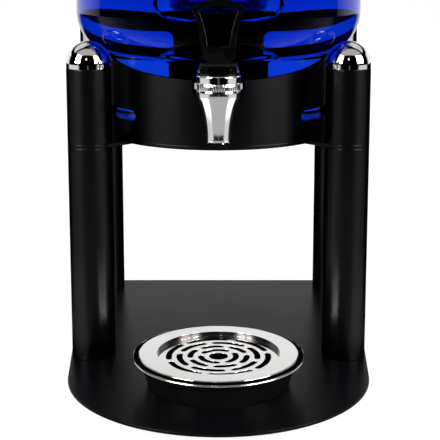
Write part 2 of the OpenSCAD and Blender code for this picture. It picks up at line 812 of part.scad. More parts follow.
// The round hub on the rim is slotted for the lever and drilled for its pin. The guide below holds
// the valve stem, and the flange is held down by the bonnet nut.
module bonnet_cap() {
    color(gloss_black) translate([0, tap_y, 0]) difference() {
        union() {
            translate([0, 0, cap_flange_z - guide_h]) cylinder(r = guide_r, h = guide_h);
            translate([0, 0, cap_flange_z]) cylinder(r = cap_flange_r, h = cap_flange_top - cap_flange_z);
            translate([0, 0, cap_flange_z]) cylinder(r = nut_lip_r - 0.2, h = nut_top - cap_flange_z);
            translate([0, 0, nut_top]) cylinder(r = bonnet_r, h = bonnet_rim_t);
            intersection() {
                translate([0, 0, nut_top]) sphere(r = bonnet_r);
                translate([0, 0, nut_top]) cylinder(r = bonnet_r, h = bonnet_h);
                translate([-bonnet_r, 0, pivot_height]) rotate([0, 90, 0]) cylinder(r = hub_r, h = 2 * bonnet_r);
            }
        }
        translate([-slot_w / 2, -lever_foot_r - 1.5, pocket_z])
            cube([slot_w, 2 * lever_foot_r + 3, lever_h]);
        translate([-slot_w / 2, -bonnet_r, nut_top + bonnet_rim_t]) cube([slot_w, 2 * bonnet_r, lever_h]);
        translate([0, 0, cap_flange_z - guide_h - cut])
            cylinder(r = valve_stem_r + valve_gap, h = lever_h, $fn = 48);
        translate([-bonnet_r, 0, pivot_height]) rotate([0, 90, 0])
            cylinder(r = pin_r + pin_gap, h = 2 * bonnet_r, $fn = 48);
    }
}

// The upper point where two circles meet, given by their middles and radii.
function meeting(a, a_r, b, b_r) =
    let (d = b - a, along = (d * d + a_r * a_r - b_r * b_r) / (2 * norm(d)), u = d / norm(d))
    a + along * u + sqrt(a_r * a_r - along * along) * [-u[1], u[0]];

// Front view of the right half of the paddle, drawn in by a border for its window. Its lower edge is
// at height z, its side is hollow and its top is round.
module half_paddle(z, in, corner) {
    top_mid = [0, lever_top - lever_top_r];
    top_r = lever_top_r - in;
    side_mid = [lever_low_half + lever_side_r, lever_low_z];
    side_r = lever_side_r + in;
    high = meeting(side_mid, side_r + corner, top_mid, top_r - corner);
    low_y = z + corner;
    low = [side_mid[0] - sqrt(pow(side_r + corner, 2) - pow(low_y - side_mid[1], 2)), low_y];
    difference() {
        intersection() {
            translate(top_mid) circle(r = top_r, $fn = 180);
            translate([0, z]) square([lever_top_r, lever_h]);
        }
        translate(side_mid) circle(r = side_r, $fn = 360);
        corner_waste(high, corner, (high - top_mid) / norm(high - top_mid), (side_mid - high) / norm(side_mid - high));
        if (in > 0) corner_waste(low, corner, [0, -1], (side_mid - low) / norm(side_mid - low));
    }
}

module lever_front_view() {
    difference() {
        both_sides() half_paddle(lever_low_z, 0, lever_corner);
        both_sides() half_paddle(nut_top + lever_window_z, lever_frame, lever_corner);
    }
    translate([-lever_stem_w / 2, pivot_height]) square([lever_stem_w, lever_low_z + 2 - pivot_height]);
}

// Side view of the lever: it grows from its round foot to full thickness and tapers to the top.
module lever_side_view() {
    polygon([
        [-lever_foot_r, pivot_height],
        [lever_foot_r, pivot_height],
        [lever_low_t / 2, lever_low_z],
        [lever_high_t / 2, lever_top],
        [-lever_high_t / 2, lever_top],
        [-lever_low_t / 2, lever_low_z]
    ]);
}

module tap_lever() {
    color(gloss_black) translate([0, tap_y, 0]) difference() {
        union() {
            intersection() {
                translate([0, lever_low_t, 0]) rotate([90, 0, 0]) linear_extrude(2 * lever_low_t)
                    lever_front_view();
                rotate([90, 0, 90]) translate([0, 0, -lever_top_r]) linear_extrude(2 * lever_top_r)
                    lever_side_view();
            }
            translate([-lever_stem_w / 2, 0, pivot_height]) rotate([0, 90, 0])
                cylinder(r = lever_foot_r, h = lever_stem_w);
        }
        translate([-bonnet_r, 0, pivot_height]) rotate([0, 90, 0])
            cylinder(r = pin_r + lever_pin_gap, h = 2 * bonnet_r, $fn = 48);
    }
}

module lever_pin() {
    color(steel) translate([-pin_len / 2, tap_y, pivot_height]) rotate([0, 90, 0])
        cylinder(r = pin_r, h = pin_len, $fn = 48);
}

module valve_stem() {
    color(steel) translate([0, tap_y, seat_face_z + seat_cup_h])
        cylinder(r = valve_stem_r, h = valve_top - seat_face_z - seat_cup_h, $fn = 48);
}

// The cup closes the seat at the bottom of the chamber and lifts with the stem.
module seat_cup() {
    color(silicone) translate([0, tap_y, seat_face_z]) rotate_extrude() {
        square([seat_cup_r, 3]);
        polygon([[0, 3], [seat_cup_r, 3], [seat_cup_r - 2.5, seat_cup_h], [0, seat_cup_h]]);
    }
}

module lid() {
    color(gloss_black) translate([0, ring_y, 0]) rotate_extrude($fn = 180) {
        polygon([
            [lid_hole_r, lid_z + lid_rise],
            [tube_flange_r + 2, lid_z + lid_rise],
            [tank_r - tank_wall - 4, lid_z],
            [lid_r - lid_t, lid_z],
            [lid_r - lid_t, lid_z - lid_skirt],
            [lid_r, lid_z - lid_skirt],
            [lid_r, lid_z + lid_t - 1],
            [lid_r - 1, lid_z + lid_t],
            [tank_r - tank_wall - 4, lid_z + lid_t],
            [tube_flange_r + 2, lid_top],
            [lid_hole_r, lid_top]
        ]);
    }
}

module lid_seal() {
    color(silicone) translate([0, ring_y, tank_top]) tube(tank_r, tank_wall, seal_t, $fn = 180);
}

module tube_section(in) {
    corner = ice_tube_corner - in;
    top = tube_top + (in > 0 ? cut : 0);
    translate([0, tube_bottom + ice_tube_corner]) square([ice_tube_r - in, top - tube_bottom - ice_tube_corner]);
    translate([0, tube_bottom + in]) square([ice_tube_r - ice_tube_corner, ice_tube_corner]);
    intersection() {
        translate([ice_tube_r - ice_tube_corner, tube_bottom + ice_tube_corner]) circle(r = corner);
        translate([ice_tube_r - ice_tube_corner, tube_bottom]) square(ice_tube_corner);
    }
}

module ice_tube() {
    color(clear) translate([0, ring_y, 0]) rotate_extrude() difference() {
        union() {
            tube_section(0);
            translate([0, tube_top - tube_flange_t]) square([tube_flange_r, tube_flange_t]);
        }
        tube_section(ice_tube_wall);
    }
}

module tube_gasket() {
    color(rubber) translate([0, ring_y, lid_top]) tube(tube_flange_r, tube_flange_w - ice_tube_gap, gasket_t);
}

module tube_cap() {
    edge = 4;
    color(gloss_black) translate([0, ring_y, tube_top]) difference() {
        rotate_extrude() {
            polygon([[0, 0], [tube_flange_r, 0], [tube_flange_r, edge], [knob_neck_r + 2, cap_h], [0, cap_h]]);
            translate([0, -cap_plug]) square([tube_in_r - cap_gap, cap_plug + 1]);
        }
        translate([0, 0, -cap_plug - cut]) cylinder(r = tube_in_r - cap_gap - 3, h = cap_plug + cut);
        translate([0, 0, cap_h - 6]) cylinder(r = rod_r, h = 6 + cut, $fn = 48);
    }
}

module cap_knob() {
    ball_z = knob_neck_h + knob_r * 0.85;
    color(chrome) translate([0, ring_y, cap_top]) {
        cylinder(r = knob_neck_r, h = ball_z);
        translate([0, 0, ball_z]) sphere(r = knob_r);
        translate([0, 0, -5]) cylinder(r = rod_r - rod_gap, h = 6, $fn = 48);
    }
}

module drip_cup() {
    color(black) translate([0, tray_y, leg_z]) rotate_extrude() polygon([
        [0, 0], [cup_low_r, 0], [cup_high_r, cup_h], [cup_high_r - cup_wall, cup_h],
        [cup_low_r - cup_wall + cup_slope * cup_wall, cup_wall], [0, cup_wall]
    ]);
}

// A steel bowl that hangs in the black cup by its rolled rim.
module drip_liner() {
    color(chrome) translate([0, tray_y, 0]) rotate_extrude() {
        translate([liner_rim_r - liner_rim_t / 2, cup_top + liner_rim_t / 2]) circle(d = liner_rim_t);
        difference() {
            polygon([
                [0, liner_floor_z], [liner_low_r, liner_floor_z], [liner_high_r, cup_top],
                [liner_rim_r - liner_rim_t / 2, cup_top], [liner_rim_r - liner_rim_t / 2, liner_top],
                [0, liner_top]
            ]);
            polygon([
                [0, liner_floor_z + liner_wall], [liner_low_r - liner_wall, liner_floor_z + liner_wall],
                [liner_high_r - liner_wall, cup_top], [liner_high_r - liner_wall, liner_top + cut],
                [0, liner_top + cut]
            ]);
        }
    }
}

// The slots of one ring of the grate. The inner ring has half as many, and the rings are staggered.
module slot_ring(index) {
    mid_r = first_ring_r + index * arc_pitch;
    slots = index == 0 ? 3 : 6;
    web_angle = 2 * asin((arc_web_w + arc_slot_w) / 2 / mid_r);
    span = 360 / slots - web_angle;
    for (i = [0 : slots - 1]) rotate(i * 360 / slots + (index % 2 == 0 ? ring_turn_even : ring_turn_odd) + web_angle / 2) {
        intersection() {
            difference() {
                circle(r = mid_r + arc_slot_w / 2);
                circle(r = mid_r - arc_slot_w / 2);
            }
            polygon([
                [0, 0],
                2 * mid_r * [1, 0],
                2 * mid_r * [cos(span / 2), sin(span / 2)],
                2 * mid_r * [cos(span), sin(span)]
            ]);
        }
        for (a = [0, span]) rotate(a) translate([mid_r, 0]) circle(r = arc_slot_w / 2 - slot_end_step, $fn = 32);
    }
}

// The flange lies on the rim of the liner, and the slotted floor is sunk below it.
module drip_grate() {
    floor_z = grate_top - recess_depth - grate_t;
    color(chrome) translate([0, tray_y, 0]) {
        rotate_extrude($fn = 120) {
            translate([recess_r, liner_top]) square([grate_r - recess_r - grate_t / 2, grate_t]);
            translate([grate_r - grate_t / 2, liner_top + grate_t / 2]) circle(d = grate_t);
            translate([recess_r, floor_z]) square([grate_t, recess_depth + grate_t]);
        }
        translate([0, 0, floor_z]) linear_extrude(grate_t) difference() {
            circle(r = recess_r + grate_t / 2, $fn = 120);
            circle(r = grate_hole_r);
            for (index = [0 : arc_rings - 1]) slot_ring(index);
        }
    }
}

base_plate();
base_feet();
base_nuts();
front_left_leg();
front_right_leg();
rear_left_leg();
rear_right_leg();
tie_rods();
shelf_plate();
front_left_sleeve();
front_right_sleeve();
rear_left_sleeve();
rear_right_sleeve();
front_left_dome();
front_right_dome();
rear_left_collar();
rear_right_collar();
rear_left_post();
rear_right_post();
rear_left_dome();
rear_right_dome();
tank_collar();
tank_pad();
back_guard();
tank();
tap_body();
outer_washer();
inner_washer();
tap_nut();
bonnet_nut();
bonnet_cap();
tap_lever();
lever_pin();
valve_stem();
seat_cup();
lid();
lid_seal();
ice_tube();
tube_gasket();
tube_cap();
cap_knob();
drip_cup();
drip_liner();
drip_grate();
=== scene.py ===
from math import acos, atan2, cos, degrees, radians, sin, tau

import bmesh
import bpy
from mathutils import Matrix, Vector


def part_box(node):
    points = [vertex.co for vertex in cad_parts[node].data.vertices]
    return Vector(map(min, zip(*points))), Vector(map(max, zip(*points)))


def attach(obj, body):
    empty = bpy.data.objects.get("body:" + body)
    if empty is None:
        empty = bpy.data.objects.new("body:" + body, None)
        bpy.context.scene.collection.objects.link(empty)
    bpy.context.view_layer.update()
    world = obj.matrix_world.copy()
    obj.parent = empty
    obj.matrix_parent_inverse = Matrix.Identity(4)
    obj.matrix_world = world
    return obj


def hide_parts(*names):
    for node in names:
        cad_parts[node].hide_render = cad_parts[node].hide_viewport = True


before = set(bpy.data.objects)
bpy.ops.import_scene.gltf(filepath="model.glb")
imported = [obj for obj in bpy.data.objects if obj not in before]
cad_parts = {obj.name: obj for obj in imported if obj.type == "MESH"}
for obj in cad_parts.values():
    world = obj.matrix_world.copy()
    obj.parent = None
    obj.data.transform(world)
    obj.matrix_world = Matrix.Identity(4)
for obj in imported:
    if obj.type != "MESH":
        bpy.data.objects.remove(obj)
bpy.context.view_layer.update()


# Camera. It stands about 0.9 m in front of the dispenser, level with the middle of the tank, and
# looks slightly down on the tap. The picture's top edge cuts the tank off.
PICTURE = 440
SENSOR = 36
FOCAL_PX = 1156.5
LOOK_DOWN = 10.44
EYE = (0, -0.9175, 0.3367)
AXIS_X, AXIS_Y = 218.5, 154

camera_data = bpy.data.cameras.new("camera")
camera_data.sensor_width = SENSOR
camera_data.lens = FOCAL_PX / PICTURE * SENSOR
camera_data.shift_x = (PICTURE / 2 - AXIS_X) / PICTURE
camera_data.shift_y = (AXIS_Y - PICTURE / 2) / PICTURE
camera = bpy.data.objects.new("camera", camera_data)
camera.location = EYE
camera.rotation_euler = (radians(90 - LOOK_DOWN), 0, 0)
bpy.context.scene.collection.objects.link(camera)
bpy.context.scene.camera = camera
bpy.context.scene.view_settings.view_transform = "Standard"


# Studio. A white sweep stands behind the object with a dim band over it, and a panel hangs above.
# Soft boxes stand in a dark room in front and strips of light lie on the floor beside it, so that
# black paint stays black and chrome keeps its dark bands. The eye itself sees plain white.
WHITE = (1, 1, 1, 1)
SWEEP_FADE = (0.095, 0.5)       # its light grows from its sides to straight behind
SWEEP_EDGE = (0.29, 0.33)       # where its sides end
SWEEP_TOP = (0.40, 0.385)       # where its top ends
CROWN = (0.60, 0.95)            # the band over the sweep, by height
CROWN_SOFT = 0.02
CROWN_FRONT = (0.05, 0.15)      # how far behind it begins
CROWN_LEVEL = 0.7
PANEL_SIDE = 1.08               # the panel's half width and its ends, as slopes from the upright
PANEL_ENDS = (0.09, 0.90)
PANEL_SOFT = 0.03
PANEL_LOWEST = 0.1
PANEL_LEVEL = 0.50
PANEL_TINT = (1, 0.90, 0.88, 1)
SOFT_BOXES = [(-51, -39, 5, 42, 28.0), (-66, -57, 5, 42, 28.0), (40, 52, 4, 40, 24.0),
              (58, 76, 4, 36, 20.0), (-9, -2, 22, 31, 3.0)]    # degrees to all sides, and level
BOX_SOFT = 0.7
FLOOR_R = 4.0
FAR_FLOOR = (1.1, 1.5)          # distances and places on the floor are in metres
FAR_EDGE = (0.80, 0.92)
NEAR_FLOOR = (0.92, 0.88)
NEAR_BACK = (0.0, -0.1)
NEAR_LEVEL = 0.5
AISLE = (-0.10, 0.16)           # a strip of floor straight in front that is lit weakly
AISLE_SOFT = 0.01
AISLE_END = (-0.9, -0.92)
AISLE_LEVEL = 0.12
FLOOR_STRIPS = [(-108, -46), (48, 100)]    # degrees to the left and the right
STRIP_SOFT = 6.0
STRIP_START = (0.15, 0.19)
STRIP_FALL = (0.35, 0.50)
STRIP_LEVELS = (1.7, 0.75)
PAPER = (0.86, 0.86, 0.86, 1)
PAPER_GLOW = 1.07
GLOW_SHARE = 0.85


def add(tree, kind, inputs=(), **settings):
    """A new node, with its settings and its inputs: a value, or the socket that feeds it."""
    node = tree.nodes.new(kind)
    for key, value in settings.items():
        setattr(node, key, value)
    for key, value in dict(inputs).items():
        if isinstance(value, bpy.types.NodeSocket):
            tree.links.new(value, node.inputs[key])
        else:
            node.inputs[key].default_value = value
    return node


def math(tree, operation, *values):
    """One math node, or a row of them where there are more than two values."""
    while len(values) > 2:
        values = (math(tree, operation, *values[:2]), *values[2:])
    return add(tree, "ShaderNodeMath", dict(enumerate(values)), operation=operation).outputs[0]


def step(tree, value, low, high):
    """Rises softly from 0 to 1 between two values."""
    return add(tree, "ShaderNodeMapRange", {0: value, 1: low, 2: high},
               interpolation_type="SMOOTHSTEP").outputs[0]


def within(tree, value, low, high, soft):
    """1 between two values and 0 outside them, with soft edges."""
    return math(tree, "MULTIPLY", step(tree, value, low - soft, low + soft),
                step(tree, value, high + soft, high - soft))


def sweep(tree, behind, edge):
    """The white of the sweep, brightest straight behind the object and cut off at its sides."""
    fade = add(tree, "ShaderNodeMapRange", {0: behind, 1: SWEEP_FADE[0], 2: SWEEP_FADE[1]})
    return math(tree, "MULTIPLY", fade.outputs[0], step(tree, behind, *edge))


def axes(tree, kind):
    """The parts of a direction or the coordinates of a place."""
    place = add(tree, "ShaderNodeTexCoord").outputs[kind]
    return add(tree, "ShaderNodeSeparateXYZ", {0: place}).outputs


def bearing(tree, x, front):
    """Degrees to the right of straight in front."""
    return math(tree, "DEGREES", math(tree, "ARCTAN2", x, front))


def seen_by_eye(tree):
    """1 for the eye and for what it sees through clear pieces, 0 for mirrored light."""
    path = add(tree, "ShaderNodeLightPath").outputs
    return math(tree, "MAXIMUM", path["Is Camera Ray"], path["Is Transmission Ray"])


def blank(name):
    """A material whose node tree is still empty, and that tree."""
    finish = bpy.data.materials.new(name)
    finish.use_nodes = True
    finish.node_tree.nodes.clear()
    return finish, finish.node_tree


world = bpy.data.worlds.new("studio")
world.use_nodes = True
bpy.context.scene.world = world
tree = world.node_tree
tree.nodes.clear()
x, y, z = axes(tree, "Generated")
front = math(tree, "MULTIPLY", y, -1.0)
level = math(tree, "MULTIPLY", sweep(tree, y, SWEEP_EDGE), step(tree, z, *SWEEP_TOP))
crown = math(tree, "MULTIPLY", within(tree, z, *CROWN, CROWN_SOFT), step(tree, y, *CROWN_FRONT))
across = within(tree, math(tree, "DIVIDE", x, z), -PANEL_SIDE, PANEL_SIDE, PANEL_SOFT)
along = within(tree, math(tree, "DIVIDE", front, z), *PANEL_ENDS, PANEL_SOFT)
panel = math(tree, "MULTIPLY", across, along, math(tree, "GREATER_THAN", z, PANEL_LOWEST))
level = math(tree, "MAXIMUM", level, math(tree, "MULTIPLY", crown, CROWN_LEVEL),
             math(tree, "MULTIPLY", panel, PANEL_LEVEL))
turn = bearing(tree, x, front)
rise = math(tree, "DEGREES", math(tree, "ARCSINE", z))
for left, right, low, high, power in SOFT_BOXES:
    box = math(tree, "MULTIPLY", within(tree, turn, left, right, BOX_SOFT),
               within(tree, rise, low, high, BOX_SOFT), power)
    level = math(tree, "MAXIMUM", level, box)
tint = add(tree, "ShaderNodeMix", {0: panel, 6: WHITE, 7: PANEL_TINT}, data_type="RGBA").outputs[2]
dim = add(tree, "ShaderNodeBackground", {"Color": tint, "Strength": level})
bright = add(tree, "ShaderNodeBackground", {"Color": WHITE, "Strength": 1.0})
mixed = add(tree, "ShaderNodeMixShader",
            {0: seen_by_eye(tree), 1: dim.outputs[0], 2: bright.outputs[0]})
add(tree, "ShaderNodeOutputWorld", {0: mixed.outputs[0]})

floor_mesh = bpy.data.meshes.new("floor")
bm = bmesh.new()
bmesh.ops.create_circle(bm, cap_ends=True, segments=96, radius=FLOOR_R)
bm.to_mesh(floor_mesh)
bm.free()
floor = bpy.data.objects.new("floor", floor_mesh)
bpy.context.scene.collection.objects.link(floor)
paper, tree = blank("paper")
x, y, z = axes(tree, "Object")
squares = [math(tree, "MULTIPLY", side, side) for side in (x, y)]
away = math(tree, "SQRT", math(tree, "ADD", *squares))
far = math(tree, "MULTIPLY", step(tree, away, *FAR_FLOOR),
           sweep(tree, math(tree, "DIVIDE", y, away), FAR_EDGE))
near = math(tree, "MULTIPLY", step(tree, away, *NEAR_FLOOR), step(tree, y, *NEAR_BACK), NEAR_LEVEL)
aisle = math(tree, "MULTIPLY", within(tree, x, *AISLE, AISLE_SOFT), step(tree, y, *AISLE_END),
             AISLE_LEVEL)
level = math(tree, "MAXIMUM", far, near, aisle)
turn = bearing(tree, x, math(tree, "MULTIPLY", y, -1.0))
fall = add(tree, "ShaderNodeMapRange",
           {0: away, **dict(enumerate(STRIP_FALL + STRIP_LEVELS, 1))}).outputs[0]
for left, right in FLOOR_STRIPS:
    strip = math(tree, "MULTIPLY", within(tree, turn, left, right, STRIP_SOFT),
                 step(tree, away, *STRIP_START), fall)
    level = math(tree, "MAXIMUM", level, strip)
plain = add(tree, "ShaderNodeBsdfDiffuse", {"Color": PAPER})
glow = add(tree, "ShaderNodeEmission", {"Color": WHITE, "Strength": PAPER_GLOW})
share = add(tree, "ShaderNodeMixShader", {0: GLOW_SHARE, 1: plain.outputs[0], 2: glow.outputs[0]})
mirrored = add(tree, "ShaderNodeEmission", {"Color": WHITE, "Strength": level})
mixed = add(tree, "ShaderNodeMixShader",
            {0: seen_by_eye(tree), 1: mirrored.outputs[0], 2: share.outputs[0]})
add(tree, "ShaderNodeOutputMaterial", {0: mixed.outputs[0]})
floor_mesh.materials.append(paper)


# Base plate. A flat D of thin steel with slanted sides, a round front and small round rear corners,
# sprayed satin black. Its edges are slightly rounded by the paint.
BASE_SLANT = 3.75
BASE_CORNER = 0.008
BASE_EDGE = 0.0006
CLOUD = 14.0
GRAIN_HEIGHT = 0.0002
PAINT_SKIN = {"grain": 2600.0, "bump": 0.12}
CRISP = 30      # degrees of turn from which an edge stays crisp
SLIGHT = 1      # degrees of turn up to which it is always smooth
NARROW = 8      # how many times smaller a face is that counts as narrow beside its neighbour


def surface(name, colour, roughness, metallic=0.0, grain=900.0, wave=0.15, bump=0.02, **sockets):
    """A finish whose tone and gloss vary a little, with a fine grain on the piece's own places."""
    finish, tree = blank(name)
    place = add(tree, "ShaderNodeTexCoord").outputs["Object"]
    fine = add(tree, "ShaderNodeTexNoise", {"Vector": place, "Scale": grain, "Detail": 2.0})
    cloud = add(tree, "ShaderNodeTexNoise", {"Vector": place, "Scale": CLOUD, "Detail": 3.0})
    tone = add(tree, "ShaderNodeMapRange", {0: cloud.outputs["Fac"], 3: 1 - wave, 4: 1 + wave})
    tint = add(tree, "ShaderNodeMix", {0: 1.0, 6: (*colour, 1), 7: tone.outputs[0]},
               data_type="RGBA", blend_type="MULTIPLY")
    gloss = add(tree, "ShaderNodeMapRange",
                {0: cloud.outputs["Fac"], 3: roughness * (1 - wave), 4: roughness * (1 + wave)})
    relief = add(tree, "ShaderNodeBump",
                 {"Height": fine.outputs["Fac"], "Strength": bump, "Distance": GRAIN_HEIGHT})
    shader = add(tree, "ShaderNodeBsdfPrincipled",
                 {"Base Color": tint.outputs[2], "Roughness": gloss.outputs[0],
                  "Normal": relief.outputs[0], "Metallic": metallic, **sockets})
    add(tree, "ShaderNodeOutputMaterial", {0: shader.outputs[0]})
    return finish


def sharpen(bm):
    """Smooth faces, with crisp edges at sharp turns and where a large face meets a narrow one."""
    for face in bm.faces:
        face.smooth = True
    for edge in bm.edges:
        turn = edge.calc_face_angle(0)
        areas = [face.calc_area() for face in edge.link_faces]
        even = max(areas) < NARROW * min(areas)
        edge.smooth = turn < radians(SLIGHT) or (turn < radians(CRISP) and even)


def soften(bm, width, segments=2, limit=CRISP):
    """Rounds every edge where the shape turns by more than the limit, in degrees."""
    edges = [edge for edge in bm.edges if edge.calc_face_angle(0) > radians(limit)]
    bmesh.ops.bevel(bm, geom=edges, offset=width, segments=segments, profile=0.5, affect="EDGES",
                    material=-1, clamp_overlap=True)


def fitted(name, bm, finish, body, slot, *nodes):
    """Makes the piece, and lets it stand for its nodes and ride on its body."""
    sharpen(bm)
    mesh = bpy.data.meshes.new(name)
    bm.to_mesh(mesh)
    bm.free()
    mesh.materials.append(finish)
    piece = bpy.data.objects.new(name, mesh)
    bpy.context.scene.collection.objects.link(piece)
    if nodes:
        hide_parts(*nodes)
    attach(piece, body)
    return piece


def arc(middle, radius, start, end, steps):
    """Points on an arc, from one angle to the other, in degrees."""
    angles = [radians(start + (end - start) * i / steps) for i in range(steps + 1)]
    return [(middle[0] + radius * cos(a), middle[1] + radius * sin(a)) for a in angles]


def slab(outline, low, high):
    """A flat plate of that outline between two heights."""
    bm = bmesh.new()
    face = bm.faces.new([bm.verts.new((x, y, low)) for x, y in outline])
    raised = bmesh.ops.extrude_face_region(bm, geom=[face])["geom"]
    bmesh.ops.translate(bm, vec=(0, 0, high - low),
                        verts=[v for v in raised if isinstance(v, bmesh.types.BMVert)])
    bmesh.ops.recalc_face_normals(bm, faces=bm.faces)
    return bm


base_black = surface("base_black", (0.0015, 0.0015, 0.002), 0.30, **PAINT_SKIN,
                     **{"Specular IOR Level": 0.05})

low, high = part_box("base_plate")
half_width, half_depth = high[0], high[1]
slant = radians(BASE_SLANT)
round_y = (half_width * cos(slant) - half_depth * (1 + sin(slant))) / (1 - sin(slant))
round_r = round_y + half_depth
corner = (half_width - BASE_CORNER, half_depth - BASE_CORNER)
outline = (arc((0, round_y), round_r, -180 + BASE_SLANT, -BASE_SLANT, 96)
           + arc(corner, BASE_CORNER, -BASE_SLANT, 90, 10)
           + arc((-corner[0], corner[1]), BASE_CORNER, 90, 180 + BASE_SLANT, 10))
bm = slab(outline, low[2], high[2])
soften(bm, BASE_EDGE, 3)
fitted("base_plate_sheet", bm, base_black, "stand", "satin_black", "base_plate")


# Feet and nuts. Six black rubber pads are glued under the plate, and four plated nuts end the tie
# rods. The threaded rods themselves run hidden through the tubes.
rubber = surface("black_rubber", (0.018, 0.018, 0.018), 0.75, grain=1800.0, bump=0.3)
plated = surface("plated_steel", (0.55, 0.56, 0.58), 0.28, metallic=1.0, grain=1500.0, bump=0.05)


def coat(finish, *nodes):
    """Gives a finish to solids that keep their own shape."""
    for node in nodes:
        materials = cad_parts[node].data.materials
        materials.clear()
        materials.append(finish)


coat(rubber, "base_feet")
coat(plated, "base_nuts", "tie_rods")


# Tubes. Round steel tube is stacked from short lengths: legs under the shelf plate, sleeves and
# posts above it. The cut ends are deburred, so each joint shows as a fine dark line.
TUBE_WALL = 0.0015
TUBE_EDGE = 0.0004
RIGHT_ANGLES = 60    # rounds the cut ends only, and not the round sides
SEAM = 0.000001
satin_black = surface("satin_black", (0.013, 0.013, 0.0142), 0.27, metallic=1.0, **PAINT_SKIN,
                      **{"Specular Tint": (0.45, 0.45, 0.45, 1)})


def spun(outline, middle=(0, 0), steps=96):
    """A closed piece of revolution about an upright axis, from its half section."""
    bm = bmesh.new()
    verts = [bm.verts.new((radius, 0, z)) for radius, z in outline]
    edges = [bm.edges.new(pair) for pair in zip(verts, verts[1:] + verts[:1])]
    bmesh.ops.spin(bm, geom=verts + edges, cent=(0, 0, 0), axis=(0, 0, 1), angle=tau, steps=steps,
                   use_merge=True)
    bmesh.ops.remove_doubles(bm, verts=bm.verts, dist=SEAM)
    wires = [edge for edge in bm.edges if not edge.link_faces]
    bmesh.ops.delete(bm, geom=wires, context="EDGES")
    bmesh.ops.recalc_face_normals(bm, faces=bm.faces)
    bmesh.ops.translate(bm, vec=(*middle, 0), verts=bm.verts)
    return bm


def place_of(node):
    """The middle, radius, lowest and highest point of a round node."""
    low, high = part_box(node)
    return ((low[0] + high[0]) / 2, (low[1] + high[1]) / 2), (high[0] - low[0]) / 2, low[2], high[2]


for tube in ["front_left_leg", "front_right_leg", "rear_left_leg", "rear_right_leg",
             "front_left_sleeve", "front_right_sleeve", "rear_left_sleeve", "rear_right_sleeve",
             "rear_left_post", "rear_right_post"]:
    middle, radius, low, high = place_of(tube)
    inner = radius - TUBE_WALL
    bm = spun([(inner, low), (radius, low), (radius, high), (inner, high)], middle)
    soften(bm, TUBE_EDGE, limit=RIGHT_ANGLES)
    fitted(tube + "_tube", bm, satin_black, "stand", "satin_black", tube)


# Shelf plate. Laser-cut steel under the tank, with an arm to each tube that is clamped between two
# lengths of it. Painted with the tubes.
SHEET_EDGE = 0.0003
WELD = 0.000002
FLAT = 0.5      # degrees of turn up to which faces are joined


def eased(node, width, segments=2):
    """A copy of a node's solid with its flat faces joined and its edges rounded."""
    bm = bmesh.new()
    bm.from_mesh(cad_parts[node].data)
    bmesh.ops.remove_doubles(bm, verts=bm.verts, dist=WELD)
    bmesh.ops.dissolve_limit(bm, angle_limit=radians(FLAT), verts=bm.verts, edges=bm.edges)
    soften(bm, width, segments)
    return bm


fitted("shelf_plate_cut", eased("shelf_plate", SHEET_EDGE), satin_black, "stand", "satin_black",
       "shelf_plate")


# Chrome caps and collars. Polished, plated brass turnings: round domes on the tubes and plain
# collars between the rear sleeves and posts.
CAP_EDGE = 0.0004
chrome = surface("polished_chrome", (0.80, 0.80, 0.81), 0.035, metallic=1.0, wave=0.08, bump=0.0)

for cap in ["front_left_dome", "front_right_dome", "rear_left_dome", "rear_right_dome"]:
    middle, radius, low, high = place_of(cap)
    outline = [(0, low), (radius - CAP_EDGE, low), (radius, low + CAP_EDGE)]
    outline += arc((0, high - radius), radius, 0, 90, 24)
    fitted(cap + "_cap", spun(outline, middle), chrome, "stand", "chrome", cap)

for ring in ["rear_left_collar", "rear_right_collar"]:
    middle, radius, low, high = place_of(ring)
    bm = spun([(0, low), (radius, low), (radius, high), (0, high)], middle)
    soften(bm, CAP_EDGE, limit=RIGHT_ANGLES)
    fitted(ring + "_turned", bm, chrome, "stand", "chrome", ring)


# Tank collar. A ring of rolled sheet steel round the tank's foot, higher at the back, with slots in
# its sides, two windows behind and a notch for the tap. It is satin black like the tubes, and the
# tank stands in it on a rubber pad.
fitted("tank_collar_band", eased("tank_collar", SHEET_EDGE), satin_black, "stand", "satin_black",
       "tank_collar")
coat(rubber, "tank_pad")


# Back guard. A steel plate that is cut with four windows and joins the rear posts behind the tank.
# It is painted satin black with them.
fitted("back_guard_plate", eased("back_guard", SHEET_EDGE), satin_black, "stand", "satin_black",
       "back_guard")


# Tank. Clear moulded plastic with a narrow foot, a round shoulder and a bead round its rim. Its
# wall is 3 mm thick. Where the drink wets it, light bends by the ratio of plastic to water only.
TANK_WALL = 0.003
TANK_STEPS = 256
FOOT_R = 0.088
SHOULDER_R = 0.034
SHOULDER_GAP = 0.001
BEAD = 0.002
BEAD_H = 0.004
DRINK_LEVEL = 0.432
PLASTIC, WATER = 1.49, 1.333
NO_MIRROR = (0, 0, 0, 1)
FLOOR_BIAS = 0.001    # lets the level floor count as facing inwards


def see_through(name, tones, scale, refraction, depth=None, **sockets):
    """A clear finish whose tone varies a little, with a colour in its depth where that is given."""
    finish, tree = blank(name)
    place = add(tree, "ShaderNodeTexCoord").outputs["Object"]
    cloud = add(tree, "ShaderNodeTexNoise", {"Vector": place, "Scale": scale, "Detail": 2.0})
    tone = add(tree, "ShaderNodeMix", {0: cloud.outputs["Fac"], 6: tones[0], 7: tones[1]},
               data_type="RGBA")
    shader = add(tree, "ShaderNodeBsdfPrincipled",
                 {"Base Color": tone.outputs[2], "Roughness": 0.0, "Transmission Weight": 1.0,
                  "IOR": refraction, **sockets})
    output = {0: shader.outputs[0]}
    if depth:
        output[1] = add(tree, "ShaderNodeVolumeAbsorption", depth).outputs[0]
    add(tree, "ShaderNodeOutputMaterial", output)
    return finish


def clear_plastic(name, refraction):
    return see_through(name, [(0.98, 0.99, 1.0, 1), WHITE], 30.0, refraction,
                       **{"Specular Tint": NO_MIRROR})


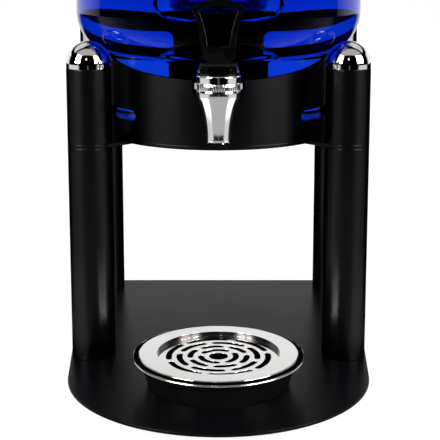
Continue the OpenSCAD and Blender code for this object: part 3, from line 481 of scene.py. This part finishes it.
clear = clear_plastic("clear_plastic", PLASTIC)
wetted = clear_plastic("wetted_plastic", PLASTIC / WATER)
low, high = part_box("tank")
rim_r, tank_low, tank_high = high[0], low[2], high[2]
tank_mid = (0, high[1] - rim_r)
tank_r = rim_r - BEAD
shoulder_mid = (tank_r - SHOULDER_R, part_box("tank_collar")[1][2] + SHOULDER_GAP + SHOULDER_R)


def tank_side(gap):
    """The tank's half section from its floor to the top of its shoulder, set in by a gap."""
    foot, radius = FOOT_R - gap, SHOULDER_R - gap
    start = degrees(acos((foot - shoulder_mid[0]) / radius))
    return [(foot, tank_low + gap)] + arc(shoulder_mid, radius, -start, 0, 40)


outline = ([(0, tank_low)] + tank_side(0)
           + [(tank_r, tank_high - BEAD_H), (rim_r, tank_high - BEAD_H), (rim_r, tank_high),
              (tank_r - TANK_WALL, tank_high), (tank_r - TANK_WALL, DRINK_LEVEL)]
           + tank_side(TANK_WALL)[::-1] + [(0, tank_low + TANK_WALL)])
bm = spun(outline, steps=TANK_STEPS)
for face in bm.faces:
    middle = face.calc_center_median()
    inwards = face.normal.dot((*-middle.xy, FLOOR_BIAS)) > 0
    face.material_index = int(inwards and tank_low + TANK_WALL / 2 < middle.z < DRINK_LEVEL)
bmesh.ops.translate(bm, vec=(*tank_mid, 0), verts=bm.verts)
shell = fitted("tank_shell", bm, clear, "tank_and_tap", "clear", "tank")
shell.data.materials.append(wetted)


# Drink. Deep blue, filled to a little below the rim. Its side lies in the tank's wall and bends no
# light by itself, and a hair of air parts it from the ice tube.
OVERLAP = 0.00002
FILM = 0.0002
FOOT_DEPTH = 0.01
ICE_CORNER = 0.012
ICE_FLANGE_W = 0.007
BLUES = [(0.10, 0.104, 0.65, 1), (0.11, 0.112, 0.68, 1)]
BLUE_DEPTH = {"Color": (0.30, 0.80, 0.97, 1), "Density": 40.0}

low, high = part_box("ice_tube")
flange_r, ice_low, ice_high = high[0], low[2], high[2]
ice_r = flange_r - ICE_FLANGE_W
corner = (ice_r - ICE_CORNER, ice_low + ICE_CORNER)
side = TANK_WALL - OVERLAP
outline = ([(0, tank_low + side)] + tank_side(side)
           + [(tank_r - side, DRINK_LEVEL), (ice_r + FILM, DRINK_LEVEL)]
           + arc(corner, ICE_CORNER + FILM, 0, -90, 16) + [(0, ice_low - FILM)])
bm = spun(outline, steps=TANK_STEPS)
for face in bm.faces:
    middle = face.calc_center_median()
    beside_ice = middle.xy.length < ice_r + 2 * FILM and middle.z > tank_low + FOOT_DEPTH
    face.material_index = int(beside_ice or middle.z > DRINK_LEVEL - FILM)
bmesh.ops.translate(bm, vec=(*tank_mid, 0), verts=bm.verts)
blue = see_through("blue_drink", BLUES, 20.0, 1.0, BLUE_DEPTH)
drink = fitted("drink", bm, blue, "tank_and_tap", "clear")
drink.data.materials.append(see_through("blue_drink_surface", BLUES, 20.0, WATER, BLUE_DEPTH))


# Ice tube. A clear moulded beaker that hangs from the lid by its flange and cools the drink. A
# rubber gasket lies under the flange.
ICE_WALL = 0.0025
ICE_FLANGE_T = 0.003
outline = ([(0, ice_low)] + arc(corner, ICE_CORNER, -90, 0, 16)
           + [(ice_r, ice_high - ICE_FLANGE_T), (flange_r, ice_high - ICE_FLANGE_T),
              (flange_r, ice_high), (ice_r - ICE_WALL, ice_high)]
           + arc(corner, ICE_CORNER - ICE_WALL, 0, -90, 16) + [(0, ice_low + ICE_WALL)])
fitted("ice_tube_beaker", spun(outline, tank_mid, 192), clear, "ice_insert", "clear", "ice_tube")
coat(rubber, "tube_gasket")


# Lid, cap and knob. The lid and the cap of the ice tube are glossy black mouldings, and the ball
# knob is chrome. A pale seal lies under the lid.
LID_EDGE = 0.0008
KNOB_EDGE = 0.0005
gloss_black = surface("gloss_black", (0.0008, 0.0008, 0.0009), 0.07, grain=700.0, bump=0.01,
                      **{"Specular IOR Level": 0.3})
silicone = surface("pale_silicone", (0.75, 0.75, 0.72), 0.5, grain=900.0, bump=0.1)
fitted("lid_shell", eased("lid", LID_EDGE, 3), gloss_black, "tank_lid", "gloss_black", "lid")
fitted("tube_cap_shell", eased("tube_cap", LID_EDGE, 3), gloss_black, "insert_cap", "gloss_black",
       "tube_cap")
fitted("cap_knob_ball", eased("cap_knob", KNOB_EDGE), chrome, "insert_cap", "chrome", "cap_knob")
coat(silicone, "lid_seal")


# Tap. A chrome-plated brass body with a trumpet-shaped spout and a threaded shank, which a nut
# clamps in the tank's wall between rubber washers. A knurled ring holds the black hub, in which the
# lever turns on a steel pin and lifts the valve's stem and its silicone cup.
TAP_EDGE = 0.0003
TAP_NUT_EDGE = 0.0004
HUB_EDGE = 0.0005
LEVER_EDGE = 0.0013
KNURLS = 60
KNURL_DEPTH = 0.0004
KNURL_EDGE = 0.0006
KNURL_H = 0.005
NUT_BORE = 0.0143
NUT_COLLAR_R = 0.016
NUT_ROUND = 0.0012
NUT_LIP_R = 0.011
NUT_LIP_T = 0.0026
SPOUT_BORE = 0.007
SPOUT_LIP = 0.0001
SPOUT_SIDE = [(1.0, 0.0159), (0.98, 0.01605), (0.96, 0.01615), (0.90, 0.01615), (0.88, 0.016),
              (0.86, 0.0158), (0.82, 0.0152), (0.785, 0.0145), (0.745, 0.0138), (0.705, 0.01315),
              (0.65, 0.0123), (0.59, 0.0116), (0.51, 0.0108), (0.43, 0.01015), (0.33, 0.0095),
              (0.235, 0.0091), (0.15, 0.0089), (0.10, 0.0089), (0.06, 0.009), (0.03, 0.0089),
              (0.01, 0.0085), (0.0, 0.008)]    # share of the height, and radius
spout_chrome = surface("spout_chrome", (0.80, 0.80, 0.81), 0.13, metallic=1.0, wave=0.08,
                       grain=1500.0, bump=0.02)
fitted("tap_casting", eased("tap_body", TAP_EDGE), chrome, "tank_and_tap", "chrome", "tap_body")
fitted("tap_back_nut", eased("tap_nut", TAP_NUT_EDGE), chrome, "tank_and_tap", "chrome", "tap_nut")

middle, radius, low, high = place_of("bonnet_nut")
spout_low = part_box("tap_body")[0][2] + SPOUT_LIP
drop = low - spout_low
outline = [(SPOUT_BORE, low)] + [(r, spout_low + drop * share) for share, r in SPOUT_SIDE]
outline += [(SPOUT_BORE, spout_low)]
fitted("tap_spout", spun(outline, middle, 128), spout_chrome, "tank_and_tap", "chrome")
outline = [(NUT_BORE, low), (radius - KNURL_EDGE, low), (radius, low + KNURL_EDGE),
           (radius, low + KNURL_H - KNURL_EDGE), (radius - KNURL_EDGE, low + KNURL_H),
           (NUT_COLLAR_R, low + KNURL_H), (NUT_COLLAR_R, high - NUT_ROUND)]
outline += arc((NUT_COLLAR_R - NUT_ROUND, high - NUT_ROUND), NUT_ROUND, 0, 90, 6)
outline += [(NUT_LIP_R, high), (NUT_LIP_R, high - NUT_LIP_T), (NUT_BORE, high - NUT_LIP_T)]
bm = spun(outline, steps=4 * KNURLS)
for vert in bm.verts:
    turn = round(atan2(vert.co.y, vert.co.x) / tau * 4 * KNURLS)
    if vert.co.xy.length > radius - KNURL_EDGE / 2 and turn % 4 in (0, 1):
        vert.co.xy *= 1 - KNURL_DEPTH / radius
bmesh.ops.translate(bm, vec=(*middle, 0), verts=bm.verts)
fitted("bonnet_ring", bm, chrome, "tank_and_tap", "chrome", "bonnet_nut")
fitted("bonnet_hub", eased("bonnet_cap", HUB_EDGE, 3), gloss_black, "tank_and_tap", "gloss_black",
       "bonnet_cap")
fitted("lever_paddle", eased("tap_lever", LEVER_EDGE, 4), gloss_black, "lever", "gloss_black",
       "tap_lever")
coat(rubber, "outer_washer", "inner_washer")
coat(plated, "lever_pin", "valve_stem")
coat(silicone, "seat_cup")


# Drip tray. A black moulded cup holds a steel bowl by its rolled rim, and a polished grate lies on
# the bowl's ledge. The grate's slots are punched in rings. Their cut walls carry a darkened copy of
# the grate's steel as painted shade, and the inside of the bowl is painted near-black as shade.
CUP_EDGE = 0.0005
STEEL_EDGE = 0.0002
RIM_T = 0.0022
UPRIGHT = 0.3            # a wall's normal rises less than this
WALL_FACE = 0.000004     # and a wall is larger than the faces of a rounded edge
moulded = surface("moulded_black", (0.002, 0.002, 0.0022), 0.16, grain=1200.0, bump=0.03)
steel = surface("polished_steel", (0.74, 0.73, 0.72), 0.08, metallic=1.0, grain=1900.0, bump=0.04)
# The grate's steel darkened for the cut walls of its slots: painted shade, not a different steel.
slot_wall_shade = surface("slot_wall_painted_shade", (0.05, 0.047, 0.046), 0.22, metallic=1.0, grain=1900.0, bump=0.06)
rolled = surface("rolled_steel", (0.62, 0.57, 0.54), 0.16, metallic=1.0, grain=1900.0, bump=0.05)
# Near-black without gloss: painted shade for the inside of the steel bowl and the gap round the
# grate.
shade = surface("shaded_black", (0.001, 0.001, 0.001), 0.6, **{"Specular IOR Level": 0.0})
fitted("drip_cup_shell", eased("drip_cup", CUP_EDGE, 3), moulded, "tray", "satin_black", "drip_cup")

middle, radius, low, high = place_of("drip_liner")
rim_low = high - RIM_T
bowl = fitted("drip_bowl", eased("drip_liner", STEEL_EDGE), rolled, "tray_liner", "chrome",
              "drip_liner")
# Faces inside the rim and below it take the near-black as painted shade; only the rim keeps its
# steel.
bowl.data.materials.append(shade)
for face in bowl.data.polygons:
    away = ((face.center.x - middle[0]) ** 2 + (face.center.y - middle[1]) ** 2) ** 0.5
    face.material_index = int(face.center.z < rim_low or away < radius - RIM_T / 2)

grille = fitted("drip_grille", eased("drip_grate", STEEL_EDGE), steel, "tray_grate", "chrome",
                "drip_grate")
grille.data.materials.append(slot_wall_shade)
# The upright cut walls of the slots take the darkened steel as painted shade.
for face in grille.data.polygons:
    face.material_index = int(abs(face.normal.z) < UPRIGHT and face.area > WALL_FACE)
